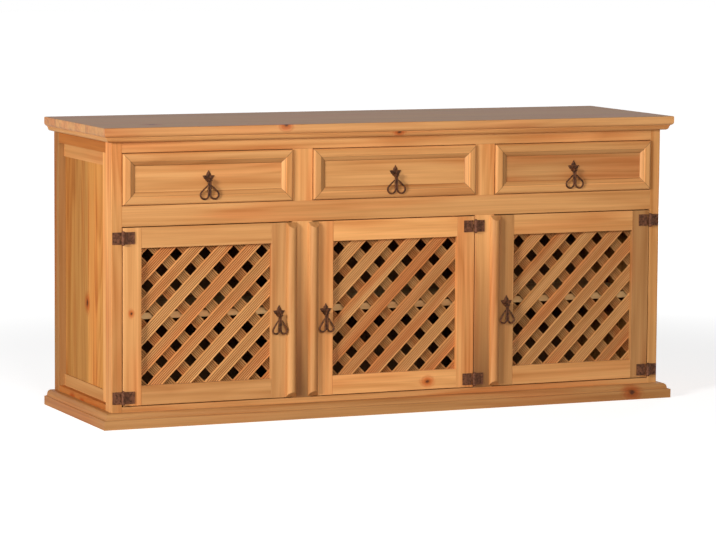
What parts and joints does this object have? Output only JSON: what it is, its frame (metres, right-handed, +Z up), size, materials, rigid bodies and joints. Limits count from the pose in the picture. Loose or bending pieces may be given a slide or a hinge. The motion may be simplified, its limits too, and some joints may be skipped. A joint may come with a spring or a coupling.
{
  "type": "sideboard",
  "caption": "Rustic pine sideboard: drawers over lattice doors, glued plank top, moulded cornice and plinth, panelled ends, a shelf inside, and wrought-iron drop pulls and hinges.",
  "frame": {"origin": "on the floor, below the centre of the overall box", "axes": "+X to the right seen from the front, +Y to the back, +Z up; the front faces -Y"},
  "size_m": [1.66, 0.495, 0.782],
  "materials": {
    "pine_frame": "honey-stained pine, satin wax",
    "pine_top": "honey-stained glued pine planks, satin wax",
    "pine_moulding": "honey-stained pine moulding, satin wax",
    "pine_side": "honey-stained pine boards, satin wax",
    "pine_lattice": "reeded pine strips, satin wax",
    "pine_inner": "planed pine, unfinished",
    "wrought_iron": "hand-forged, brown-black wax"
  },
  "bodies": {
    "carcass": {"top_board": "pine_top", "cornice_front": "pine_moulding", "cornice_sides": "pine_moulding", "front_stile_left": "pine_frame", "front_stile_right": "pine_frame", "rear_posts": "pine_frame", "top_rail": "pine_frame", "mid_rail": "pine_frame", "bottom_rail": "pine_frame", "mullions": "pine_frame", "side_rails": "pine_side", "side_panels": "pine_side", "side_trims": "pine_side", "back_boards": "pine_inner", "floor_board": "pine_inner", "shelf": "pine_inner", "inner_cleats": "pine_inner", "drawer_runners": "pine_inner", "plinth_front": "pine_moulding", "plinth_sides": "pine_moulding", "hinge_frame_leaves": "wrought_iron"},
    "drawer_1": {"drawer_1_front": "pine_frame", "drawer_1_moulding": "pine_moulding", "drawer_1_box": "pine_inner", "drawer_1_pull_plate": "wrought_iron"},
    "drawer_1_drop": {"drawer_1_pull_drop": "wrought_iron"},
    "drawer_2": {"drawer_2_front": "pine_frame", "drawer_2_moulding": "pine_moulding", "drawer_2_box": "pine_inner", "drawer_2_pull_plate": "wrought_iron"},
    "drawer_2_drop": {"drawer_2_pull_drop": "wrought_iron"},
    "drawer_3": {"drawer_3_front": "pine_frame", "drawer_3_moulding": "pine_moulding", "drawer_3_box": "pine_inner", "drawer_3_pull_plate": "wrought_iron"},
    "drawer_3_drop": {"drawer_3_pull_drop": "wrought_iron"},
    "door_1": {"door_1_stiles": "pine_frame", "door_1_rails": "pine_frame", "door_1_lattice_front": "pine_lattice", "door_1_lattice_back": "pine_lattice", "door_1_batten": "pine_moulding", "door_1_hinge_leaves": "wrought_iron", "door_1_pull_plate": "wrought_iron"},
    "door_1_drop": {"door_1_pull_drop": "wrought_iron"},
    "door_2": {"door_2_stiles": "pine_frame", "door_2_rails": "pine_frame", "door_2_lattice_front": "pine_lattice", "door_2_lattice_back": "pine_lattice", "door_2_batten": "pine_moulding", "door_2_hinge_leaves": "wrought_iron", "door_2_pull_plate": "wrought_iron"},
    "door_2_drop": {"door_2_pull_drop": "wrought_iron"},
    "door_3": {"door_3_stiles": "pine_frame", "door_3_rails": "pine_frame", "door_3_lattice_front": "pine_lattice", "door_3_lattice_back": "pine_lattice", "door_3_batten": "pine_moulding", "door_3_hinge_leaves": "wrought_iron", "door_3_pull_plate": "wrought_iron"},
    "door_3_drop": {"door_3_pull_drop": "wrought_iron"}
  },
  "joints": [
    {"name": "drawer_1_slide", "type": "slide", "parent": "carcass", "child": "drawer_1", "axis": [0, -1, 0], "range_m": [0, 0.3]},
    {"name": "drawer_1_drop_swing", "type": "hinge", "parent": "drawer_1", "child": "drawer_1_drop", "pos_m": [-0.533, -0.227, 0.6395], "axis": [-1, 0, 0], "range_deg": [0, 85]},
    {"name": "drawer_2_slide", "type": "slide", "parent": "carcass", "child": "drawer_2", "axis": [0, -1, 0], "range_m": [0, 0.3]},
    {"name": "drawer_2_drop_swing", "type": "hinge", "parent": "drawer_2", "child": "drawer_2_drop", "pos_m": [0, -0.227, 0.6395], "axis": [-1, 0, 0], "range_deg": [0, 85]},
    {"name": "drawer_3_slide", "type": "slide", "parent": "carcass", "child": "drawer_3", "axis": [0, -1, 0], "range_m": [0, 0.3]},
    {"name": "drawer_3_drop_swing", "type": "hinge", "parent": "drawer_3", "child": "drawer_3_drop", "pos_m": [0.533, -0.227, 0.6395], "axis": [-1, 0, 0], "range_deg": [0, 85]},
    {"name": "door_1_hinge", "type": "hinge", "parent": "carcass", "child": "door_1", "pos_m": [-0.77025, -0.2238, 0.289], "axis": [0, 0, -1], "range_deg": [0, 170]},
    {"name": "door_1_drop_swing", "type": "hinge", "parent": "door_1", "child": "door_1_drop", "pos_m": [-0.33325, -0.2275, 0.277], "axis": [-1, 0, 0], "range_deg": [0, 85]},
    {"name": "door_2_hinge", "type": "hinge", "parent": "carcass", "child": "door_2", "pos_m": [0.23725, -0.2238, 0.289], "axis": [0, 0, 1], "range_deg": [0, 150]},
    {"name": "door_2_drop_swing", "type": "hinge", "parent": "door_2", "child": "door_2_drop", "pos_m": [-0.19975, -0.2275, 0.277], "axis": [-1, 0, 0], "range_deg": [0, 85]},
    {"name": "door_3_hinge", "type": "hinge", "parent": "carcass", "child": "door_3", "pos_m": [0.77025, -0.2238, 0.289], "axis": [0, 0, 1], "range_deg": [0, 170]},
    {"name": "door_3_drop_swing", "type": "hinge", "parent": "door_3", "child": "door_3_drop", "pos_m": [0.33325, -0.2275, 0.277], "axis": [-1, 0, 0], "range_deg": [0, 85]}
  ]
}
